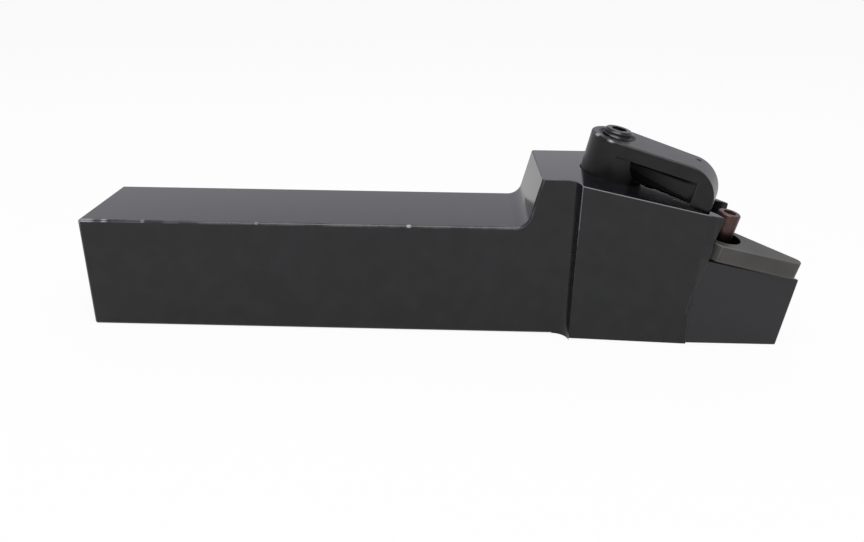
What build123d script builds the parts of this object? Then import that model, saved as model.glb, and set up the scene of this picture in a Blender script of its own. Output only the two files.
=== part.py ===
"""Turning tool holder with a 35 degree rhombic insert seat, shim, lock pin and top clamp.

Millimetres. X runs along the shank from its rear face to the cutting corner, Y across it with
zero on the shank's centre, Z up from the shank's base. The cutting side faces -Y.
"""
import os
from math import cos, radians, sin, tan

from build123d import *

# ---- shank -----------------------------------------------------------------------------------
SHANK_W = 20.0            # square shank, width and height
SHANK_H = 20.0
REAR_CHAMFER = 0.35       # chamfer around the rear face
EDGE_BREAK = 0.3          # break along the shank's long edges

# ---- head ------------------------------------------------------------------------------------
HEAD_H = 28.5             # height of the flat on top of the head
STEP_FOOT_X = 77.2        # where the step's slope would meet the top of the shank
STEP_TOP_X = 79.4         # where the slope reaches the flat
STEP_FILLET = 2.6         # cutter radius at the foot of the step
SHOULDER_X = 85.5         # end of the milled shank side, where the cheek starts
SHOULDER_R = 2.7          # cutter radius in that corner
CHEEK_Y = -11.8           # cheek of the head at its rear bottom corner
CHEEK_YAW = 3.3           # cheek runs out towards the tip (degrees)
CHEEK_LEAN = 3.4          # and leans out towards the top (degrees)
ROOF_INCLINE = 11.5       # fall of the sloping roof towards the tip
ROOF_CANT = 2.0           # and its fall towards the cutting side
FRONT_X, FRONT_Y = 112.5, -4.85   # a point of the trailing face
FRONT_ANGLE = 38.0        # trailing face in plan, from the shank's axis
TIP_ROUND = 0.3           # upright corner below the shim's tip

# ---- insert seat -----------------------------------------------------------------------------
TIP_H = 20.2              # height of the cutting corner of the missing insert
SEAT_INCLINE = 11.53      # fall of the seat towards the tip
SEAT_CANT = 3.49          # and towards the cutting side
SEAT_X, SEAT_Y = 111.2, -9.5      # insert centre, on the insert's upper face
INSERT_T = 4.76           # thickness of the insert the seat is made for
INSERT_IC = 9.525         # its inscribed circle
INSERT_ANGLE = 35.0       # its corner angle
LEAD_ANGLE = 3.0          # its cutting side against the shank's axis
SHIM_T = 3.18
SHIM_AHEAD = 0.7          # shim against the insert, along the cutting edge
SHIM_NOSE_R = 1.2
SHIM_HOLE_R = 3.15        # clearance hole for the lock pin
SHIM_MOUTH_R = 3.3        # its mouth, lightly broken
HOLE_DU, HOLE_DV = 0.45, 0.45     # hole against the pin's free end: the pin is eccentric

# ---- relief milled into the cheek under the seat ----------------------------------------------
RELIEF_Y = -12.5          # at the base
RELIEF_LEAN = 4.4

# ---- lock pin --------------------------------------------------------------------------------
PIN_R = 1.87              # free end, inside the insert's hole
PIN_COLLAR_R = 2.95       # collar on the seat, sunk in the shim's hole
PIN_COLLAR_H = 1.0
PIN_THREAD_R = 2.4
PIN_THREAD_L = 7.0
PIN_SOCKET = 2.0          # across flats
PIN_SINK = 0.3            # free end below the insert's upper face

# ---- clamp -----------------------------------------------------------------------------------
CLAMP_X, CLAMP_Y = 91.56, -1.17   # screw axis at the clamp's foot
CLAMP_Z = 27.99
CLAMP_AIM = -28.65        # arm in plan, from the shank's axis
BOSS_R = 5.5              # rear round of the clamp
BOSS_AHEAD = 1.0          # its centre, ahead of the screw axis
BOSS_SINK = 1.6           # boss below its foot, in the head's counterbore
CLAMP_H = 6.45            # top of the clamp above its foot
ARM_L = 18.8              # screw axis to the front of the nose
ARM_TAPER = 5.8           # each side of the arm (degrees)
NOSE_R = 5.3
NOSE_SKEW = 6.0           # nose turned towards the shank's axis (degrees)
LEDGE_H = 4.1             # upper edge of the recess along the arm's sides
RECESS = 0.95             # depth of that recess beside the boss
RECESS_END = 0.2          # and where it runs out near the nose
RECESS_LEAN = 14.0        # lean of its face beside the boss (degrees)
RECESS_LOW = 3.3          # lower edge of that face beside the boss
RECESS_LOW_END = 0.95     # and near the nose
BELLY_LEAN = 25.0         # slope from there in to the belly of the arm (degrees)
BELLY_H = 0.85            # belly above the clamp's foot
CLAMP_BREAK = 0.35

# ---- clamp screw -----------------------------------------------------------------------------
SCREW_R = 2.5
SCREW_L = 22.0
SCREW_TOP = 7.45          # end of the screw above the clamp's foot
SCREW_BACK = 0.1          # its axis behind the clamp's datum
SCREW_SOCKET = 2.5
RUN_GAP = 0.05            # running gap between the screw and the two bores


def tilted(incline, cant):
    """Unit normal of a surface falling towards the tip and towards the cutting side."""
    return Vector(tan(radians(incline)), -tan(radians(cant)), 1).normalized()


def frame(origin, normal, turn=0.0):
    """Plane on that normal, its x axis over the shank's axis turned by an angle in plan."""
    ahead = Vector(cos(radians(turn)), sin(radians(turn)), 0)
    along = (ahead - normal * ahead.dot(normal)).normalized()
    return Plane(origin=origin, x_dir=along, z_dir=normal)


def turned(length, angle):
    return (length * cos(radians(angle)), length * sin(radians(angle)))


# ---- frames shared by the pieces ----------------------------------------------------------------
SEAT_N = tilted(SEAT_INCLINE, SEAT_CANT)
REACH = INSERT_IC / sin(radians(INSERT_ANGLE))          # side of the rhombus
LONG_HALF = REACH * cos(radians(INSERT_ANGLE / 2))      # centre to an acute corner
SHORT_HALF = REACH * sin(radians(INSERT_ANGLE / 2))     # centre to an obtuse corner
LONG_DIR = -(LEAD_ANGLE + INSERT_ANGLE / 2)             # centre to the cutting corner
seat_rise = TIP_H + tan(radians(SEAT_INCLINE)) * (125.8 - SEAT_X)
seat_rise += tan(radians(SEAT_CANT)) * (SEAT_Y + 14.8)
INSERT_TOP = Vector(SEAT_X, SEAT_Y, seat_rise)
SHIM_TOP = INSERT_TOP - SEAT_N * INSERT_T
FLOOR = SHIM_TOP - SEAT_N * SHIM_T
seat_floor = frame(FLOOR, SEAT_N)
shim_top = frame(SHIM_TOP, SEAT_N)
insert_top = frame(INSERT_TOP, SEAT_N)
slide = turned(SHIM_AHEAD, -LEAD_ANGLE)
shim_floor = Plane(seat_floor.from_local_coords(slide + (0,)), seat_floor.x_dir, SEAT_N)

TIP = turned(LONG_HALF, LONG_DIR)
REAR = turned(-LONG_HALF, LONG_DIR)
NEAR = turned(-SHORT_HALF, LONG_DIR + 90)
FAR = turned(SHORT_HALF, LONG_DIR + 90)

# the clamp and its screw stand square to the seat
clamp_foot = frame(Vector(CLAMP_X, CLAMP_Y, CLAMP_Z), SEAT_N, CLAMP_AIM)
screw_foot = Plane(clamp_foot.from_local_coords((-SCREW_BACK, 0, 0)), clamp_foot.x_dir, SEAT_N)

cheek_out = Vector(-tan(radians(CHEEK_YAW)), -1, -tan(radians(CHEEK_LEAN)))
cheek = Plane(origin=(SHOULDER_X, CHEEK_Y, 0), z_dir=cheek_out)
roof = frame(Vector(SHOULDER_X, -13.5, HEAD_H), tilted(ROOF_INCLINE, ROOF_CANT))
trailing = Plane(origin=(FRONT_X, FRONT_Y, 0),
                 z_dir=(sin(radians(FRONT_ANGLE)), cos(radians(FRONT_ANGLE)), 0))
relief = Plane(origin=(110, RELIEF_Y, 0), z_dir=(0, -1, -tan(radians(RELIEF_LEAN))))

# ---- what is milled off outside the cheek --------------------------------------------------------
with BuildPart() as cheek_cut:
    with Locations((SHOULDER_X, 0, -1)):
        Box(60, 60, 40, align=(Align.MIN, Align.MAX, Align.MIN))
    split(bisect_by=cheek, keep=Keep.TOP)

# ---- cutter for the relief below the seat -------------------------------------------------------
# Upper part ends on a leaning curve, lower part on an upright step near the base.
with BuildPart() as relief_cut:
    with BuildSketch(Plane.XZ.offset(9)) as relief_shape:
        with BuildLine():
            Polyline((106.0, -1), (105.6, 6.1), (105.1, 6.4))
            Spline((105.1, 6.4), (105.75, 10.1), (106.3, 12.3), (107.6, 17.0))
            Polyline((107.6, 17.0), (107.6, 30), (132, 30), (132, -1), (106.0, -1))
        make_face()
    extrude(amount=12)
    split(bisect_by=relief, keep=Keep.TOP)

# ---- cutter for the insert seat -----------------------------------------------------------------
# Two walls along the rear sides of the insert; the near wall is eased where it leaves the cheek.
with BuildPart() as seat_cut:
    with BuildSketch(seat_floor):
        with BuildLine():
            Polyline((-1.42, -7.1), (-2.45, -4.9), (-3.2, -3.28), REAR,
                     (FAR[0] + 12, FAR[1] - 0.63), (34, -2), (34, -24), (-1.42, -24), close=True)
        make_face()
        with Locations(turned(-LONG_HALF + 1.9, LONG_DIR)):
            Circle(1.35)
    extrude(amount=24)

# ---- holder -------------------------------------------------------------------------------------
with BuildPart() as holder:
    # side profile of shank and head
    with BuildSketch(Plane.XZ.offset(-SHANK_W / 2)) as profile:
        with BuildLine():
            Polyline((0, 0), (132, 0), (132, HEAD_H), (STEP_TOP_X, HEAD_H),
                     (STEP_FOOT_X, SHANK_H), (0, SHANK_H), close=True)
        make_face()
        fillet(profile.vertices().filter_by_position(Axis.X, 77, 78), STEP_FILLET)
    extrude(amount=SHANK_W / 2 + 18)
    # near side of the shank, milled as far as the shoulder
    with BuildSketch(Plane.XY.offset(-1)) as flank:
        with BuildLine():
            Polyline((-1, -SHANK_W / 2), (SHOULDER_X, -SHANK_W / 2), (SHOULDER_X, -30),
                     (-1, -30), close=True)
        make_face()
        corner = flank.vertices().filter_by_position(Axis.X, 80, 90).sort_by(Axis.Y)[-1]
        fillet(corner, SHOULDER_R)
    extrude(amount=40, mode=Mode.SUBTRACT)
    # cheek, sloping roof and trailing face
    add(cheek_cut.part, mode=Mode.SUBTRACT)
    split(bisect_by=roof, keep=Keep.BOTTOM)
    split(bisect_by=trailing, keep=Keep.BOTTOM)
    add(relief_cut.part, mode=Mode.SUBTRACT)
    # upright corner below the shim's tip, then the seat above it
    tip_edge = holder.edges().filter_by(lambda e: e.center().X > 118 and abs(e.center().Z - 10) < 8
                                        and e.bounding_box().size.Z > 10)
    fillet(tip_edge, TIP_ROUND)
    add(seat_cut.part, mode=Mode.SUBTRACT)
    # threaded hole of the lock pin, in line with the hole of the shim
    with Locations(seat_floor * Location((HOLE_DU, HOLE_DV, 0))):
        Cylinder(PIN_THREAD_R + RUN_GAP, PIN_THREAD_L + 1.5,
                 align=(Align.CENTER, Align.CENTER, Align.MAX), mode=Mode.SUBTRACT)
    # counterbore of the clamp's boss and the threaded hole of its screw
    with Locations(clamp_foot * Location((BOSS_AHEAD, 0, -BOSS_SINK - 0.6))):
        Cylinder(BOSS_R + 0.08, 12, align=(Align.CENTER, Align.CENTER, Align.MIN),
                 mode=Mode.SUBTRACT)
    with Locations(screw_foot):
        Cylinder(SCREW_R + RUN_GAP, SCREW_L - SCREW_TOP + 2,
                 align=(Align.CENTER, Align.CENTER, Align.MAX), mode=Mode.SUBTRACT)
    # chamfer round the rear face, then the light break along the shank
    rear = holder.faces().sort_by(Axis.X)[0]
    chamfer(rear.edges(), REAR_CHAMFER)
    long_edges = holder.edges().filter_by(Axis.X).filter_by(
        lambda e: e.length > 60 and not (e.center().Y < 0 and e.center().Z < 1))
    chamfer(long_edges, EDGE_BREAK)
    # the near bottom edge is broken as far as the shoulder only
    with BuildSketch(Plane.YZ.offset(-1)):
        with BuildLine():
            Polyline((-SHANK_W / 2 - 1, -1), (-SHANK_W / 2 + 1 + EDGE_BREAK, -1),
                     (-SHANK_W / 2 - 1, 1 + EDGE_BREAK), close=True)
        make_face()
    extrude(amount=SHOULDER_X - SHOULDER_R + 1, mode=Mode.SUBTRACT)
holder.part.label = "holder"

# ---- shim ---------------------------------------------------------------------------------------
with BuildPart() as shim:
    with BuildSketch(shim_floor) as shim_shape:
        with BuildLine():
            Polyline(TIP, NEAR, REAR, FAR, close=True)
        make_face()
        offset(amount=-0.06, kind=Kind.INTERSECTION)
        acute = shim_shape.vertices().sort_by(Axis.X)
        fillet([acute[0], acute[-1]], SHIM_NOSE_R)
        middle = shim_floor.origin.X
        blunt = shim_shape.vertices().filter_by(lambda v: 1.1 < abs(v.center().X - middle) < 2.3)
        fillet(blunt, 0.5)
    extrude(amount=SHIM_T)
    under = shim.faces().sort_by(Axis((0, 0, 0), tuple(SEAT_N)))[0]
    chamfer(under.edges(), 0.4)
    over = shim.faces().sort_by(Axis((0, 0, 0), tuple(SEAT_N)))[-1]
    chamfer(over.edges(), 0.12)
    # hole for the lock pin, its mouth lightly broken
    with Locations(shim_top * Location((HOLE_DU, HOLE_DV, 0))):
        Cylinder(SHIM_HOLE_R, 2 * SHIM_T + 2, mode=Mode.SUBTRACT)
    with Locations(shim_top * Location((HOLE_DU, HOLE_DV, 0))):
        Cone(2 * SHIM_HOLE_R - SHIM_MOUTH_R, SHIM_MOUTH_R, 0.3, mode=Mode.SUBTRACT,
             align=(Align.CENTER, Align.CENTER, Align.MAX))
shim.part.label = "shim"

# ---- lock pin -----------------------------------------------------------------------------------
# Threaded body in the holder, collar in the shim's hole, eccentric free end for the insert.
with BuildPart() as lock_pin:
    with Locations(seat_floor * Location((HOLE_DU, HOLE_DV, 0.02))):
        Cylinder(PIN_COLLAR_R, PIN_COLLAR_H, align=(Align.CENTER, Align.CENTER, Align.MIN))
    with Locations(seat_floor * Location((HOLE_DU, HOLE_DV, 0.05))):
        Cylinder(PIN_THREAD_R, PIN_THREAD_L, align=(Align.CENTER, Align.CENTER, Align.MAX))
    foot = lock_pin.edges().sort_by(Axis((0, 0, 0), tuple(SEAT_N)))[0]
    chamfer(foot, 0.5)
    with Locations(insert_top.offset(-PIN_SINK)):
        Cylinder(PIN_R, INSERT_T + SHIM_T - PIN_COLLAR_H, align=(Align.CENTER, Align.CENTER, Align.MAX))
    crown = lock_pin.edges().sort_by(Axis((0, 0, 0), tuple(SEAT_N)))[-1]
    chamfer(crown, 0.18)
    with BuildSketch(insert_top):
        RegularPolygon(PIN_SOCKET / 2, 6, major_radius=False)
    extrude(amount=-2.4, mode=Mode.SUBTRACT)
lock_pin.part.label = "lock_pin"

# ---- clamp --------------------------------------------------------------------------------------
# Side profile in the clamp's own frame: u along the arm, w along the screw.
up = Axis((0, 0, 0), tuple(SEAT_N))
nose_dir = frame(clamp_foot.origin, SEAT_N, CLAMP_AIM + NOSE_SKEW).x_dir
side = Plane(origin=clamp_foot.origin, x_dir=nose_dir, z_dir=nose_dir.cross(SEAT_N))
nose_u, nose_w = ARM_L - NOSE_R, CLAMP_H - NOSE_R
taper = tan(radians(ARM_TAPER))
tangent_u = BOSS_AHEAD + BOSS_R * sin(radians(ARM_TAPER))   # arm leaves the rear round here
root_half = BOSS_R * cos(radians(ARM_TAPER))
nose_half = root_half - (ARM_L + 1 - tangent_u) * taper
ledge_end = 15.9                                       # recess runs out here
ledge_half = root_half - (ledge_end - tangent_u) * taper - RECESS_END

# What is milled off both sides of the arm below the ledge. The milled face leans in at the boss
# and stands upright where it runs out; under it the side slopes in to the belly of the arm.
below = LEDGE_H + 3
with BuildPart() as side_cut:
    for hand in (-1, 1):
        sections = []
        for u, top, lean, low in ((0.5, root_half - RECESS, RECESS_LEAN, RECESS_LOW),
                                  (ledge_end, ledge_half, 0, RECESS_LOW_END)):
            foot_half = top - (LEDGE_H - low) * tan(radians(lean))
            belly_half = foot_half - (low - LEDGE_H + below) * tan(radians(BELLY_LEAN))
            section = Plane(origin=clamp_foot.from_local_coords((u, 0, 0)),
                            x_dir=clamp_foot.y_dir * hand, z_dir=clamp_foot.x_dir * hand)
            with BuildSketch(section) as milled:
                with BuildLine():
                    Polyline((top, LEDGE_H), (foot_half, low), (belly_half, LEDGE_H - below),
                             (9, LEDGE_H - below), (9, LEDGE_H), close=True)
                make_face()
            sections.append(milled.sketch.face())
        loft(sections, ruled=True)

with BuildPart() as clamp:
    with BuildSketch(side) as arm_profile:
        with BuildLine():
            Line((-8, CLAMP_H), (nose_u, CLAMP_H))
            CenterArc((nose_u, nose_w), NOSE_R, 0, 90)
            Polyline((ARM_L, nose_w), (ARM_L, 0.12), (ARM_L - 1.9, 0.3),
                     (15.4, 0.6), (12.8, BELLY_H), (-8, BELLY_H),
                     (-8, CLAMP_H))
        make_face()
    extrude(amount=12, both=True)
    with BuildSketch(clamp_foot.offset(-2)) as arm_plan:
        with BuildLine():
            Polyline((tangent_u, -root_half), (ARM_L + 1, -nose_half),
                     (ARM_L + 1, nose_half), (tangent_u, root_half), close=True)
        make_face()
        with Locations((BOSS_AHEAD, 0)):
            Circle(BOSS_R)
    extrude(amount=12, mode=Mode.INTERSECT)
    # soft edge round the top, over the nose and down its front
    local = clamp_foot.to_local_coords
    across = clamp_foot.y_dir
    rim = [e for e in clamp.edges() if abs((e @ 1 - e @ 0).dot(across)) < 0.5 * e.length
           and (local(e @ 0.5).Z > 3 or local(e @ 0.5).X > ARM_L - 0.8 and local(e @ 0.5).Z > 0.5)
           and (local(e @ 0.5).Z > CLAMP_H - 0.01 or local(e @ 0.5).X > nose_u + 0.1)]
    rear_round = clamp.edges().filter_by(GeomType.CIRCLE).sort_by(up)[-1]
    fillet(rim + [rear_round], CLAMP_BREAK)
    add(side_cut.part, mode=Mode.SUBTRACT)
    # boss, sunk into the head
    with Locations(clamp_foot * Location((BOSS_AHEAD, 0, -BOSS_SINK))):
        Cylinder(BOSS_R, BOSS_SINK + CLAMP_H - 1, align=(Align.CENTER, Align.CENTER, Align.MIN))
    # threaded bore for the screw, with its mouth
    with Locations(screw_foot):
        Cylinder(SCREW_R + RUN_GAP, 30, mode=Mode.SUBTRACT)
    with Locations(screw_foot * Location((0, 0, CLAMP_H - 0.4))):
        Cone(SCREW_R + RUN_GAP, SCREW_R + 0.85, 0.8, mode=Mode.SUBTRACT)
clamp.part.label = "clamp"

# ---- clamp screw --------------------------------------------------------------------------------
# Threaded at both ends, left hand in the clamp and right hand in the head, socket in the top.
screw_side = Plane(origin=screw_foot.origin, x_dir=screw_foot.x_dir,
                   z_dir=screw_foot.x_dir.cross(SEAT_N))
with BuildPart() as clamp_screw:
    with Locations(screw_foot.offset(SCREW_TOP)):
        Cylinder(SCREW_R, SCREW_L, align=(Align.CENTER, Align.CENTER, Align.MAX))
    ends = clamp_screw.edges().filter_by(GeomType.CIRCLE)
    chamfer(ends, 0.4)
    # waist between the two threads
    with BuildSketch(screw_side):
        with BuildLine():
            Polyline((SCREW_R - 0.55, 0.2), (SCREW_R - 0.55, -1.6), (SCREW_R + 0.1, -2.25),
                     (SCREW_R + 0.1, 0.85), close=True)
        make_face()
    revolve(axis=Axis(screw_foot.origin, SEAT_N), mode=Mode.SUBTRACT)
    with BuildSketch(screw_foot.offset(SCREW_TOP)):
        RegularPolygon(SCREW_SOCKET / 2, 6, major_radius=False)
    extrude(amount=-2.6, mode=Mode.SUBTRACT)
clamp_screw.part.label = "clamp_screw"

parts = {"holder": holder, "shim": shim, "lock_pin": lock_pin, "clamp": clamp,
         "clamp_screw": clamp_screw}
os.makedirs("parts", exist_ok=True)
for name, built in parts.items():
    built.part.label = name
    export_step(built.part, "parts/" + name + ".step")
    box = built.part.bounding_box()
    print(name, round(built.part.volume, 1), "solids", len(built.part.solids()), box.min, box.max)
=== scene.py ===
# %% [markdown]
# # Dressing a turning tool holder
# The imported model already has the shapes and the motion. This lesson gives the five pieces
# their real surfaces: black oxide on forged and ground steel, the grey of sintered carbide,
# the brown of a tempered pin, and the bright line where an edge has rubbed against other tools.
# Everything is in metres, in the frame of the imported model: x runs from the rear of the shank to
# the cutting corner, the cutting side faces -y, and the shank rests on z = 0. Finishes read the
# same frame in millimetres, because their features are that small.

# %% Load the frame
import math

import bmesh
import bpy
from mathutils import Matrix, Vector


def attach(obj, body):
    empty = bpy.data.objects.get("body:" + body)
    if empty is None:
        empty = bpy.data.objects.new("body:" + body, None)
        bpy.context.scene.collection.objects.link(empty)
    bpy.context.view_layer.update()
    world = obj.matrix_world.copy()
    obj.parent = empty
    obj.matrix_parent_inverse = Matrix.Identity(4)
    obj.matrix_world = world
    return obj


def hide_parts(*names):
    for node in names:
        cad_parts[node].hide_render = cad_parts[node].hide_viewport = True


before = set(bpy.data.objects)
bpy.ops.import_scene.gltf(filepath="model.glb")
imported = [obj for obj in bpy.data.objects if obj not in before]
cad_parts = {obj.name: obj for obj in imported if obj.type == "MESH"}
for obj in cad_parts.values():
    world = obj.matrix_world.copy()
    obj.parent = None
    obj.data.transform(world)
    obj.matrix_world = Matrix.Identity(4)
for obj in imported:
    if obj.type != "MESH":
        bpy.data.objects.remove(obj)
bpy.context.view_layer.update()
MM = 0.001

# %% [markdown]
# ## The camera
# The holder is looked at from the cutting side, a little from above, with the shank level
# across the view. A camera can be turned with three angles, but they are hard to read back. Here
# it is placed by the direction that it looks in and by its own right and up, which make the
# columns of its rotation. The focal length follows from the angle of view.

# %% Camera
SENSOR_MM = 36.0
FOCAL_TO_WIDTH = 772.3 / 864       # focal length over the width of the frame
CAMERA_PLACE = (0.06425, -0.134, 0.0642)

ahead = Vector((-0.0223, 0.9206, -0.3899)).normalized()
right = Vector((0.9996, 0.0283, 0.0096))
right = (right - ahead * right.dot(ahead)).normalized()
over = right.cross(ahead)
lens = bpy.data.cameras.new("bench_camera")
lens.sensor_width = SENSOR_MM
lens.lens = FOCAL_TO_WIDTH * SENSOR_MM
lens.clip_start = 0.005
camera = bpy.data.objects.new("bench_camera", lens)
bpy.context.scene.collection.objects.link(camera)
turn = Matrix((right, over, -ahead)).transposed()
camera.matrix_world = Matrix.Translation(CAMERA_PLACE) @ turn.to_4x4()
bpy.context.scene.camera = camera
print("camera looks along", [round(c, 3) for c in ahead], "with a lens of", round(lens.lens, 1))

# %% [markdown]
# ## Sums on sockets
# A material is a network of nodes. Written node by node it is long and hard to read, so a small
# class wraps a socket: adding or multiplying two of these values adds the Math node by itself.

# %% A value that can be added and multiplied
class Amount:
    """One number that changes over a surface."""

    def __init__(self, finish, socket):
        self.finish, self.socket = finish, socket

    def maths(self, operation, *others):
        fed = dict(enumerate((self,) + others))
        return self.finish.node("ShaderNodeMath", {"operation": operation}, fed)

    def __add__(self, other):
        return self.maths("ADD", other)

    def __sub__(self, other):
        return self.maths("SUBTRACT", other)

    def __mul__(self, other):
        return self.maths("MULTIPLY", other)

    def __rsub__(self, other):
        return (self * -1.0) + other

    __radd__, __rmul__ = __add__, __mul__

    def between(self, low, high):
        """0 below low, 1 above high, and a smooth rise from one to the other."""
        return self.finish.node("ShaderNodeMapRange", {"interpolation_type": "SMOOTHSTEP"},
                                {"Value": self, "From Min": low, "From Max": high})


def highest(amount, *others):
    """The greatest of several amounts at each point."""
    for other in others:
        amount = amount.maths("MAXIMUM", other)
    return amount


print("amounts can be added, multiplied and compared")

# %% [markdown]
# ## A finish and its places
# Every other node comes from one method that takes its type, its settings and its sockets. The
# patterns read the surface's own position in millimetres, so a worn spot, a milled band or the
# wall of a hole is found by where it is, with no painting. Three measures do most of it: how far
# a point is, how high the surface lies along a tilted axis, and how far it is from that axis.

# %% A finish
class Finish:
    """A material, with the surface's own coordinates in millimetres."""

    def __init__(self, name, **fixed):
        self.material = bpy.data.materials.new(name)
        self.material.use_nodes = True
        self.tree = self.material.node_tree
        self.shader = self.tree.nodes["Principled BSDF"]
        for socket, value in fixed.items():
            self.shader.inputs[socket.replace("_", " ")].default_value = value
        place = self.node("ShaderNodeTexCoord", {}, {}, output="Object")
        self.mm = self.node("ShaderNodeVectorMath", {"operation": "SCALE"},
                            {"Vector": place, "Scale": 1 / MM})
        self.x, self.y, self.z = (self.node("ShaderNodeSeparateXYZ", {}, {"Vector": self.mm},
                                            output=axis) for axis in "XYZ")

    def node(self, kind, settings, fed, output=0):
        made = self.tree.nodes.new(kind)
        for name, value in settings.items():
            setattr(made, name, value)
        for name, value in fed.items():
            if isinstance(value, Amount):
                self.tree.links.new(value.socket, made.inputs[name])
            else:
                made.inputs[name].default_value = value
        return Amount(self, made.outputs[output])

    def vectors(self, operation, first, second, output=0):
        return self.node("ShaderNodeVectorMath", {"operation": operation},
                         {0: first, 1: second}, output)

    def stretched(self, along, across, up):
        """The coordinates with a factor of their own on each axis."""
        return self.vectors("MULTIPLY", self.mm, (along, across, up))

    def noise(self, scale, detail=3.0, rough=0.55, place=None):
        return self.node("ShaderNodeTexNoise", {}, {
            "Vector": place or self.mm, "Scale": scale, "Detail": detail, "Roughness": rough})

    def blend(self, amount, low, high):
        """A colour between two, where each is a colour or another blend."""
        return self.node("ShaderNodeMix", {"data_type": "RGBA"}, {
            0: amount, 6: low if isinstance(low, Amount) else low + (1.0,),
            7: high if isinstance(high, Amount) else high + (1.0,)}, output=2)

    def relief(self, height, depth_mm):
        return self.node("ShaderNodeBump", {}, {"Height": height, "Distance": depth_mm * MM})

    def near(self, point, inner, outer):
        """1 within inner mm of a point, fading to 0 at outer mm."""
        return 1.0 - self.vectors("DISTANCE", self.mm, point, "Value").between(inner, outer)

    def above(self, point, axis):
        """How many mm the surface lies above a point, measured along an axis."""
        away = self.vectors("SUBTRACT", self.mm, point)
        return self.vectors("DOT_PRODUCT", away, axis, "Value")

    def around(self, point, axis):
        """How many mm the surface lies away from an axis through a point."""
        away = self.vectors("SUBTRACT", self.mm, point)
        off = self.vectors("CROSS_PRODUCT", away, axis)
        return self.node("ShaderNodeVectorMath", {"operation": "LENGTH"}, {0: off}, "Value")

    def wear(self, **sockets):
        """Feeds the shader's sockets that vary."""
        for socket, value in sockets.items():
            self.tree.links.new(value.socket, self.shader.inputs[socket.replace("_", " ")])
        return self.material


print("finish helpers ready")

# %% [markdown]
# ## Where things are on the tool
# The insert's seat is tilted two ways, towards the tip and towards the cutting side. The clamp,
# its screw, the shim and the pin all stand square to it, so one direction serves as up for them.

# %% Places on the tool, in mm
seat_slopes = Vector((math.tan(math.radians(11.53)), -math.tan(math.radians(3.49)), 1))
SEAT_UP = tuple(seat_slopes.normalized())
SHIM_TOP = (110.2503, -9.2161, 18.8460)
SHIM_BORE = (110.70, -8.79, 18.78)       # on the axis of the shim's hole
REAR_ROUND = (92.44, -1.68, 27.78)       # on the axis of the clamp's rear round
SCREW_FOOT = (91.4745, -1.1223, 28.0103)
print("up at the seat is", [round(c, 3) for c in SEAT_UP])

# %% [markdown]
# ## Black oxide
# Blackened steel isn't painted. The oxide is a thin glassy skin, nearly black by itself, and what
# is seen is mostly the room in it: little where it is faced squarely, much more at a low angle.
# A dark paint or a dark metal would be as bright from every side. A principled shader with almost
# no colour does it well, with an index of refraction a little below the usual 1.5.
# Grinding marks are a noise that is stretched along x. It breaks the gloss, with a broad cloud
# over it for the blotches left by the oil.

# %% Black oxide
OXIDE_IOR = 1.42
GROUND_MARKS = (0.03, 2.4, 2.4)


def black_oxide(name, dark, pale, gloss, marks=GROUND_MARKS, depth=0.003, index=OXIDE_IOR):
    skin = Finish(name, IOR=index)
    blotch = skin.noise(0.35, 4.0)
    cloud = skin.noise(0.05, 2.0)
    grain = skin.noise(7.0, 2.0)
    ground = skin.noise(1.0, 2.0, place=skin.stretched(*marks))
    colour = skin.blend(blotch.between(0.3, 0.75), dark, pale)
    rough = gloss + cloud * 0.06 + ground * 0.05 + blotch * 0.04
    return skin, colour, rough, skin.relief(ground * 0.7 + grain * 0.5, depth)


print("black oxide ready, index of refraction", OXIDE_IOR)

# %% [markdown]
# ## The holder
# Two places differ from the rest. The relief under the seat was milled after the head, and its
# cut face is a touch paler. On the roof, just below the clamp's arm, a short pale streak is a
# painted highlight, made of six overlapping spots.

# %% Finish of the holder
skin, colour, rough, bumps = black_oxide(
    "holder_black_oxide", (0.0040, 0.0041, 0.0050), (0.0085, 0.0086, 0.0105), 0.10)
milled = skin.x.between(105.6, 106.2) * (1.0 - skin.z.between(16.2, 16.8)) * 0.7
colour = skin.blend(milled, colour, (0.018, 0.018, 0.021))
# Painted highlight: a pale streak of six overlapping spots on the roof under the clamp's arm.
HIGHLIGHT_STREAK_START, HIGHLIGHT_STREAK_STEP = Vector((101.6, -9.7, 25.36)), Vector((0.38, -0.19, -0.084))
painted_highlight_streak = highest(*(skin.near(tuple(HIGHLIGHT_STREAK_START + HIGHLIGHT_STREAK_STEP * step), 0.15, 0.5)
                   for step in range(6)))
colour = skin.blend(painted_highlight_streak, colour, (0.75, 0.75, 0.78))
holder_black = skin.wear(Base_Color=colour, Roughness=rough, Normal=bumps)
print("made", holder_black.name, "with", len(skin.tree.nodes), "nodes")

# %% [markdown]
# ## Rubbed edges
# The oxide goes first at the edges that touch other things. Each piece's sharp edges get a narrow
# round, and its faces get a finish of their own, so the wear follows the shape with no painting.
# It is strongest on the upper edges of the cutting side, and a noise breaks the line up. The
# head's edges on that side are worn paler than the shank's. The shank's upper edge has only a few
# bright nicks, most of them near its rear end.

# %% Finish of the rubbed edges
SHANK_NICKS = [((57.2, -10.0, 20.0), 0.3, 0.6), ((1.5, -10.0, 20.0), 0.6, 1.9),
               ((4.6, -10.0, 20.0), 0.2, 0.9), ((11.3, -10.0, 20.0), 0.1, 0.6),
               ((31.0, -10.0, 20.0), 0.1, 0.5)]


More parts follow.
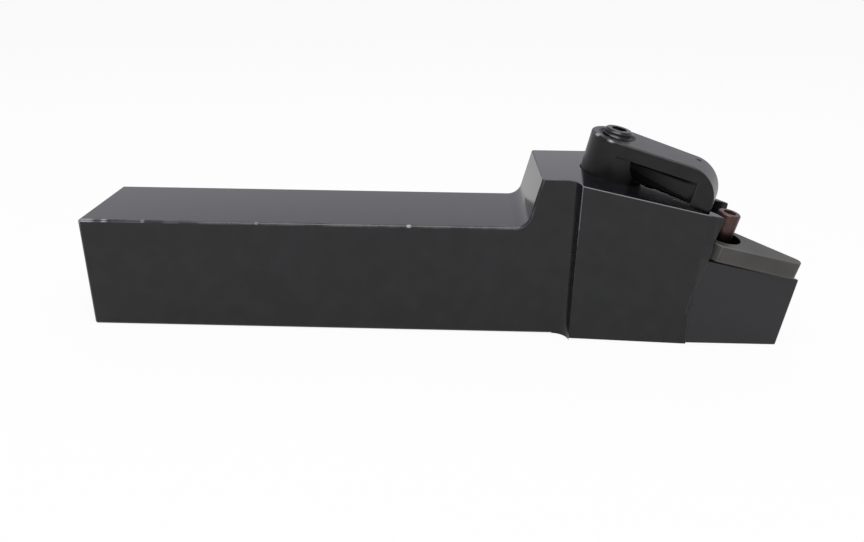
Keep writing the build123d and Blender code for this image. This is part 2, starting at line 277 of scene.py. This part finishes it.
def rubbed_edge(name, dark, bare, most, head_wear=0.0, nicks=()):
    edge = Finish(name, IOR=1.5)
    patchy = edge.noise(0.22, 4.0, 0.7).between(0.38, 0.62)
    upper = edge.z.between(12.0, 19.0)
    near_side = 1.0 - edge.y.between(-9.0, 2.0)
    before_seat = 1.0 - edge.x.between(105.5, 107.0)
    on_head = edge.x.between(84.5, 86.0) * edge.z.between(20.5, 21.0) * near_side * before_seat
    worn = highest(patchy * (upper * near_side * 0.75 + 0.25) * most * (before_seat * 0.8 + 0.2),
                   on_head * head_wear * (0.7 + edge.noise(0.5) * 0.6),
                   *(edge.near(*nick) for nick in nicks))
    tint = edge.blend(edge.noise(1.5), bare, tuple(c * 0.7 for c in bare))
    return edge.wear(Base_Color=edge.blend(worn, dark, tint), Metallic=worn * 0.85,
                     Roughness=0.26 + edge.noise(3.0) * 0.2 + worn * 0.1)


holder_edge = rubbed_edge("holder_rubbed_edge", (0.005, 0.005, 0.006), (0.42, 0.42, 0.44), 0.16,
                          head_wear=0.5, nicks=SHANK_NICKS)
clamp_edge = rubbed_edge("clamp_rubbed_edge", (0.005, 0.005, 0.005), (0.3, 0.3, 0.3), 0.12)
shim_edge = rubbed_edge("shim_edge", (0.09, 0.087, 0.082), (0.3, 0.29, 0.28), 0.5)
print("made", [m.name for m in (holder_edge, clamp_edge, shim_edge)])

# %% [markdown]
# ## The clamp
# The clamp is tumbled before it is blackened, so its gloss is softer and it has no grinding lines.
# Its rear rim has two painted highlights, bright metal crescents on the rounded rim, and the top
# has one dull nick near the nose.
# The side of the arm is recessed below a ledge. The recess gets a darker copy of the oxide as
# painted shade, darkest near the boss and just under the ledge, where those would shade it. An
# index of refraction has to be one number for a whole finish, so the painted shade is made another
# way: a black metal reflects much less than the oxide does, and a mask on Metallic goes from one
# to the other.

# %% Finishes of the clamp
TUMBLED_MARKS = (0.5, 0.5, 0.5)
CLAMP_IOR = 1.37

skin, colour, rough, bumps = black_oxide(
    "clamp_black_oxide", (0.003, 0.003, 0.0031), (0.009, 0.0088, 0.0082), 0.24,
    marks=TUMBLED_MARKS, depth=0.006, index=CLAMP_IOR)
nick = skin.near((105.6, -6.6, 31.2), 0.25, 0.6)
# Painted highlight: bright metal crescents on the near part of the rear rim, broken by a noise.
painted_rim_highlight = (skin.around(REAR_ROUND, SEAT_UP).between(4.85, 5.15)
       * skin.above(REAR_ROUND, SEAT_UP).between(6.05, 6.2)
       * (1.0 - skin.x.between(91.0, 93.5)) * (1.0 - skin.y.between(-4.5, -2.5))
       * skin.noise(0.45, 3.0).between(0.42, 0.56))
clamp_black = skin.wear(Base_Color=skin.blend(painted_rim_highlight, colour, (0.48, 0.47, 0.49)),
                        Roughness=rough + nick * 0.8, Normal=bumps, Metallic=painted_rim_highlight * 0.9)

# Painted shade: the recess finish is a darker, rougher copy of the oxide.
skin, colour, rough, bumps = black_oxide(
    "clamp_recess_painted_shade", (0.002, 0.002, 0.0021), (0.006, 0.0058, 0.0054), 0.3,
    marks=TUMBLED_MARKS, depth=0.006, index=CLAMP_IOR)
# Painted shade under the ledge and near the boss, through a mask on Metallic.
ledge_painted_shade = skin.above(REAR_ROUND, SEAT_UP).between(3.4, 3.8)
groove_painted_shade = ledge_painted_shade * (1.0 - skin.x.between(102.0, 105.0))
boss_painted_shade = (1.0 - skin.x.between(94.5, 101.5)) * 0.75
recess_painted_shade = skin.wear(Base_Color=colour, Roughness=rough, Normal=bumps,
                         Metallic=highest(groove_painted_shade, boss_painted_shade))
print("made", clamp_black.name, "and", recess_painted_shade.name)

# %% [markdown]
# ## The clamp's screw
# The screw has a left-hand thread in the clamp and a right-hand one in the head, with a waist
# between them, so one turn moves the clamp by both pitches. Nearly all of it is hidden in the two
# bores, so the ridges are a relief and not a modelled helix. The angle round the screw is added
# to the height along it, counted in pitches, and the sum goes up and down once for each ridge.

# %% Finish of the screw
PITCH = 0.8
THREAD_DEPTH = 0.35


def screw_thread(skin):
    """Ridges of a thread round the screw, left hand above its waist and right hand below it."""
    up = skin.above(SCREW_FOOT, SEAT_UP)
    ahead = Vector(SEAT_UP).orthogonal().normalized()
    aside = Vector(SEAT_UP).cross(ahead)
    turn = skin.above(SCREW_FOOT, tuple(aside)).maths(
        "ARCTAN2", skin.above(SCREW_FOOT, tuple(ahead)))
    hand = up.between(-0.8, -0.7) * 2.0 - 1.0
    ridge = (up * (1 / PITCH) + turn * hand * (0.5 / math.pi)).maths("PINGPONG", 0.5)
    flank = skin.around(SCREW_FOOT, SEAT_UP).between(2.3, 2.4) * (1.0 - up.between(6.6, 6.8))
    return skin.relief(ridge * flank * 2.0, THREAD_DEPTH)


skin, colour, rough, bumps = black_oxide(
    "screw_black_oxide", (0.004, 0.004, 0.005), (0.010, 0.010, 0.011), 0.2,
    marks=(1.5, 1.5, 1.5), depth=0.004)
screw_black = skin.wear(Base_Color=colour, Roughness=rough, Normal=screw_thread(skin))
print("made", screw_black.name, "with a pitch of", PITCH, "mm")

# %% [markdown]
# ## The lock pin
# The pin was tempered to a red brown. Where it goes down into the shim's hole it is painted nearly
# black, a painted shade for the inside of the hole, and fine turning marks run round it. A mask on
# the height above the shim, broken by a noise, moves the colour from one to the other.

# %% Finish of the pin
def brown_steel():
    skin = Finish("pin_brown_steel", IOR=1.5)
    patch = skin.noise(0.6, 4.0, 0.65).between(0.3, 0.7)
    colour = skin.blend(patch, (0.045, 0.021, 0.017), (0.10, 0.049, 0.041))
    # Painted shade: below a noisy height above the shim, the pin turns nearly black and more
    # metallic.
    hole_painted_shade = 1.0 - (skin.above(SHIM_TOP, SEAT_UP) + skin.noise(0.8) * 0.8).between(1.3, 2.3)
    colour = skin.blend(hole_painted_shade, colour, (0.006, 0.003, 0.002))
    turned = skin.noise(1.0, 2.0, place=skin.stretched(0.4, 0.4, 5.0))
    return skin.wear(Base_Color=colour, Metallic=0.25 + patch * 0.2 + hole_painted_shade * 0.5,
                     Roughness=0.3 + turned * 0.2, Normal=skin.relief(turned, 0.006))


pin_brown = brown_steel()
print("made", pin_brown.name)

# %% [markdown]
# ## The shim
# The shim is sintered carbide, ground on its faces: a warm grey, quite matt, with the fine even
# grain of pressed powder and a few paler grains. The rim of its hole is darkened as painted shade,
# and the wall of the hole has a plain finish of its own, a nearly black painted shade.

# %% Finishes of the shim
def ground_carbide():
    skin = Finish("shim_ground_carbide", IOR=1.5)
    cloud = skin.noise(0.25, 3.0).between(0.25, 0.75)
    powder = skin.noise(14.0, 3.0, 0.7)
    lines = skin.noise(1.0, 2.0, place=skin.stretched(0.6, 6.0, 6.0))
    colour = skin.blend(cloud, (0.038, 0.0362, 0.0327), (0.052, 0.0494, 0.0459))
    colour = skin.blend(powder.between(0.62, 0.8) * 0.5, colour, (0.16, 0.155, 0.15))
    # Painted shade: nearly black within a set reach of the hole's axis.
    bore_painted_shade = 1.0 - skin.around(SHIM_BORE, SEAT_UP).between(3.25, 3.45)
    colour = skin.blend(bore_painted_shade, colour, (0.005, 0.0035, 0.003))
    return skin.wear(Base_Color=colour, Roughness=0.42 + powder * 0.14 + lines * 0.08,
                     Normal=skin.relief(powder * 0.6 + lines * 0.5, 0.004))


shim_grey = ground_carbide()
# Painted shade: the wall of the hole takes a nearly black finish of its own.
bore_wall_painted_shade = Finish("shim_bore_painted_shade", IOR=1.2, Roughness=0.4,
                   Base_Color=(0.004, 0.003, 0.0025, 1.0)).material
print("made", shim_grey.name, "and", bore_wall_painted_shade.name)

# %% [markdown]
# ## Rounding the edges of a solid
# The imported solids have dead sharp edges, which no real tool has. A copy of each solid is merged
# from loose triangles, its flat facets are joined into whole faces, and the edges that turn by
# more than a set angle are bevelled. The bevel's faces take the second material, and faces that
# pass a test of their own, such as the wall of a hole, take a third. The materials are given to
# the mesh before its faces are written back, because emptying the list sends every face to the
# first one. A weighted normal modifier keeps the large faces flat in shading, and leaves the
# roundness to the edges.

# %% Dressing a solid
WELD_GAP = 2e-6                        # loose corners closer than this are one, in metres
FLAT_TURN = math.radians(0.4)          # facets that turn less than this are one face
SHARP_TURN = math.radians(28.0)        # edges that turn more than this get a round


def rounded(bm, width_mm):
    """Merges the solid, rounds its sharp edges and returns their number and their faces."""
    bmesh.ops.remove_doubles(bm, verts=bm.verts, dist=WELD_GAP)
    bmesh.ops.dissolve_limit(bm, angle_limit=FLAT_TURN, verts=bm.verts, edges=bm.edges)
    sharp = [e for e in bm.edges if len(e.link_faces) == 2 and e.calc_face_angle(0.0) > SHARP_TURN]
    rounds = bmesh.ops.bevel(bm, geom=sharp, offset=width_mm * MM, offset_type="OFFSET",
                             affect="EDGES", segments=2, profile=0.5, material=-1,
                             clamp_overlap=False)
    return len(sharp), rounds["faces"]


def dressed(node, name, finishes, width_mm, third=None):
    """A rounded copy of a solid: finishes of its faces and edges, and of faces passing third."""
    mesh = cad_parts[node].data.copy()
    mesh.name = name
    bm = bmesh.new()
    bm.from_mesh(mesh)
    edge_count, edge_faces = rounded(bm, width_mm)
    for face in bm.faces:
        face.smooth, face.material_index = True, 0
    for face in edge_faces:
        face.material_index = 1
    if third:
        for face in bm.faces:
            if third(face):
                face.material_index = 2
    mesh.materials.clear()
    for finish in finishes:
        mesh.materials.append(finish)
    bm.to_mesh(mesh)
    bm.free()
    if "custom_normal" in mesh.attributes:
        mesh.attributes.remove(mesh.attributes["custom_normal"])
    piece = bpy.data.objects.new(name, mesh)
    bpy.context.scene.collection.objects.link(piece)
    steady = piece.modifiers.new("steady_faces", "WEIGHTED_NORMAL")
    steady.keep_sharp, steady.weight = True, 80
    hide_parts(node)
    print(name, edge_count, "edges rounded,", len(mesh.polygons), "faces")
    return piece


print("sharp edges turn by more than", round(math.degrees(SHARP_TURN)), "degrees")

# %% [markdown]
# ## Which faces take the third finish
# A face is chosen by where its corners are, measured from the axis that the feature is made
# round. The recess lies below the ledge and in front of the boss, and its faces stand upright.
# All corners have to pass, because the middle of a long face can lie well outside the feature.

# %% Tests for a face
LEDGE_H = 4.15                         # a little above the ledge
BOSS_REACH, NOSE_REACH = 6.0, 15.8     # the recess ends between these, from the rear round's axis
BORE_REACH = 3.3


def corners_from(face, point):
    return [corner.co / MM - Vector(point) for corner in face.verts]


def in_recess(face):
    """True on the clamp's recessed side, below the ledge that runs along its arm."""
    up = Vector(SEAT_UP)
    away = corners_from(face, REAR_ROUND)
    reach = max(corner.cross(up).length for corner in away)
    height = max(corner.dot(up) for corner in away)
    return height < LEDGE_H and BOSS_REACH < reach < NOSE_REACH and abs(face.normal.dot(up)) < 0.9


def in_bore(face):
    """True on the wall of the hole in the shim."""
    up = Vector(SEAT_UP)
    return max(corner.cross(up).length for corner in corners_from(face, SHIM_BORE)) < BORE_REACH


print("the recess reaches from", BOSS_REACH, "to", NOSE_REACH, "mm")

# %% [markdown]
# ## Dressing the five solids
# The forged holder has the widest rounds, and the ground pieces hardly any. Each dressed piece
# replaces its solid and rides on the same body, so it goes where the joint takes it.

# %% Dress the five solids
body_piece = dressed("holder", "holder_body", (holder_black, holder_edge), 0.14)
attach(body_piece, "holder")
shim_piece = dressed("shim", "seat_shim", (shim_grey, shim_edge, bore_wall_painted_shade), 0.05, third=in_bore)
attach(shim_piece, "holder")
pin_piece = dressed("lock_pin", "insert_pin", (pin_brown, pin_brown), 0.05)
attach(pin_piece, "holder")
clamp_piece = dressed("clamp", "top_clamp", (clamp_black, clamp_edge, recess_painted_shade), 0.12,
                      third=in_recess)
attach(clamp_piece, "clamp")
screw_piece = dressed("clamp_screw", "clamping_screw", (screw_black, screw_black), 0.05)
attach(screw_piece, "clamp_screw")

# %% [markdown]
# ## The table
# The holder lies on a pale table in a bright, even room. To the camera the table is mostly plain
# white, which is what a well lit white table looks like. A quarter of that white is also added in
# reflections. The rest of its shading keeps a soft shadow where the shank stands on it. More lamps
# would whiten the table too, but they would wash out the black steel.

# %% Table
TABLE_HALF = 3.0
TABLE_DROP = 0.00005                   # keeps the table just clear of the shank's base


def pale_table():
    skin = Finish("pale_table", Roughness=0.9, Base_Color=(0.82, 0.82, 0.82, 1.0))
    camera_ray, glossy_ray, through_ray = (
        skin.node("ShaderNodeLightPath", {}, {}, output="Is " + kind + " Ray")
        for kind in ("Camera", "Glossy", "Transmission"))
    white = skin.node("ShaderNodeEmission", {}, {"Color": (1, 1, 1, 1), "Strength": 1.0})
    both = skin.node("ShaderNodeMixShader", {}, {
        0: (camera_ray + through_ray) * 0.9 + glossy_ray * 0.25,
        1: Amount(skin, skin.shader.outputs[0]), 2: white})
    skin.tree.links.new(both.socket, skin.tree.nodes["Material Output"].inputs[0])
    return skin.material


bm = bmesh.new()
bmesh.ops.create_grid(bm, x_segments=1, y_segments=1, size=TABLE_HALF)
table_mesh = bpy.data.meshes.new("table")
bm.to_mesh(table_mesh)
bm.free()
table_mesh.materials.append(pale_table())
table = bpy.data.objects.new("table", table_mesh)
table.location = (0, 0, -TABLE_DROP)
bpy.context.scene.collection.objects.link(table)
print("table", 2 * TABLE_HALF, "m wide")

# %% [markdown]
# ## The room
# Black oxide shows little but the room, so the room matters more than the lamp. It is white to
# the camera, a little cooler and darker in reflections, and only about half as strong as a light.
# A Light Path node tells these rays apart. One wide lamp overhead gives the soft shadow.

# %% Room and lamp
ROOM_SHADES = (("Is Camera Ray", (1.0, 1.0, 1.0, 1.0)),
               ("Is Glossy Ray", (0.76, 0.76, 0.82, 1.0)),
               ("Is Transmission Ray", (1.0, 1.0, 1.0, 1.0)))


def bright_room(ambient):
    room = bpy.data.worlds.new("bright_room")
    room.use_nodes = True
    tree = room.node_tree
    path = tree.nodes.new("ShaderNodeLightPath")
    lit = tree.nodes["Background"]
    lit.inputs["Color"].default_value = (1, 1, 1, 1)
    lit.inputs["Strength"].default_value = ambient
    shown = lit.outputs[0]
    for ray, colour in ROOM_SHADES:
        plain_sky = tree.nodes.new("ShaderNodeBackground")
        plain_sky.inputs["Color"].default_value = colour
        both = tree.nodes.new("ShaderNodeMixShader")
        tree.links.new(path.outputs[ray], both.inputs[0])
        tree.links.new(shown, both.inputs[1])
        tree.links.new(plain_sky.outputs[0], both.inputs[2])
        shown = both.outputs[0]
    tree.links.new(shown, tree.nodes["World Output"].inputs[0])
    return room


def soft_lamp(name, place, towards, size, watts):
    light = bpy.data.lights.new(name, "AREA")
    light.shape, light.size, light.size_y, light.energy = "RECTANGLE", size[0], size[1], watts
    lamp = bpy.data.objects.new(name, light)
    lamp.location = place
    lamp.rotation_euler = (Vector(towards) - Vector(place)).to_track_quat("-Z", "Y").to_euler()
    bpy.context.scene.collection.objects.link(lamp)
    return lamp


bpy.context.scene.world = bright_room(0.55)
overhead = soft_lamp("overhead_softbox", (0.06, -0.16, 0.50), (0.06, 0.0, 0.02), (0.42, 0.26), 1.9)
bpy.context.scene.view_settings.view_transform = "Standard"
print("room and", overhead.name, "ready")
